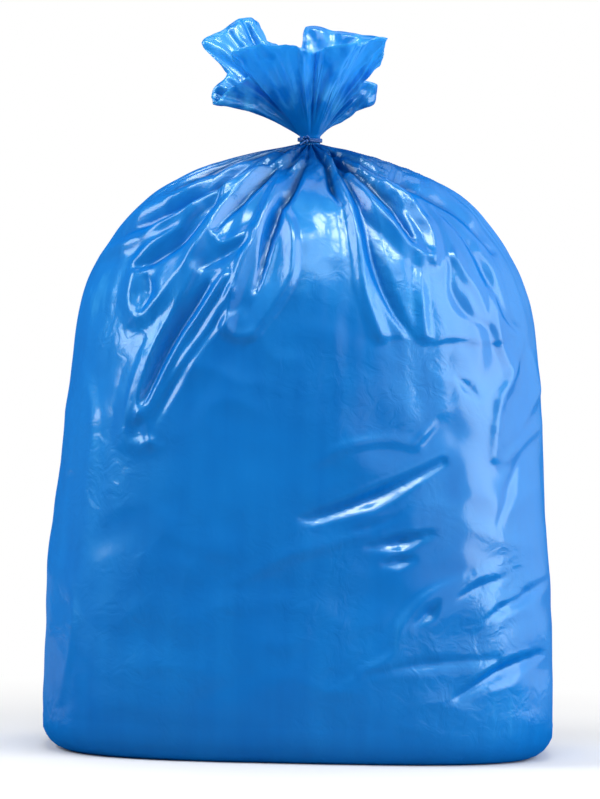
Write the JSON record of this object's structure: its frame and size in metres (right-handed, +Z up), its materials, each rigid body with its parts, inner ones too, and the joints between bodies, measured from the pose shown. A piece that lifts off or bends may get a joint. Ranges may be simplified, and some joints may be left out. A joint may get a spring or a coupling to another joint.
{
  "type": "trash bag",
  "caption": "Filled plastic trash bag standing on its flattened base, pleated up to a gathered neck held by a thin tie, with the open mouth flaring above it.",
  "frame": {"origin": "on the floor, under the middle of the bag", "axes": "+Z up out of the tied neck, +X along the bag's wide side, the front towards -Y"},
  "size_m": [0.52, 0.35, 0.7464],
  "materials": {
    "bag_film": "glossy thin polythene film, wrinkled",
    "tie_band": "thin strand of twisted polythene film, slightly glossy"
  },
  "bodies": {
    "root": {"bag": "bag_film", "neck_tie": "tie_band"}
  },
  "joints": []
}
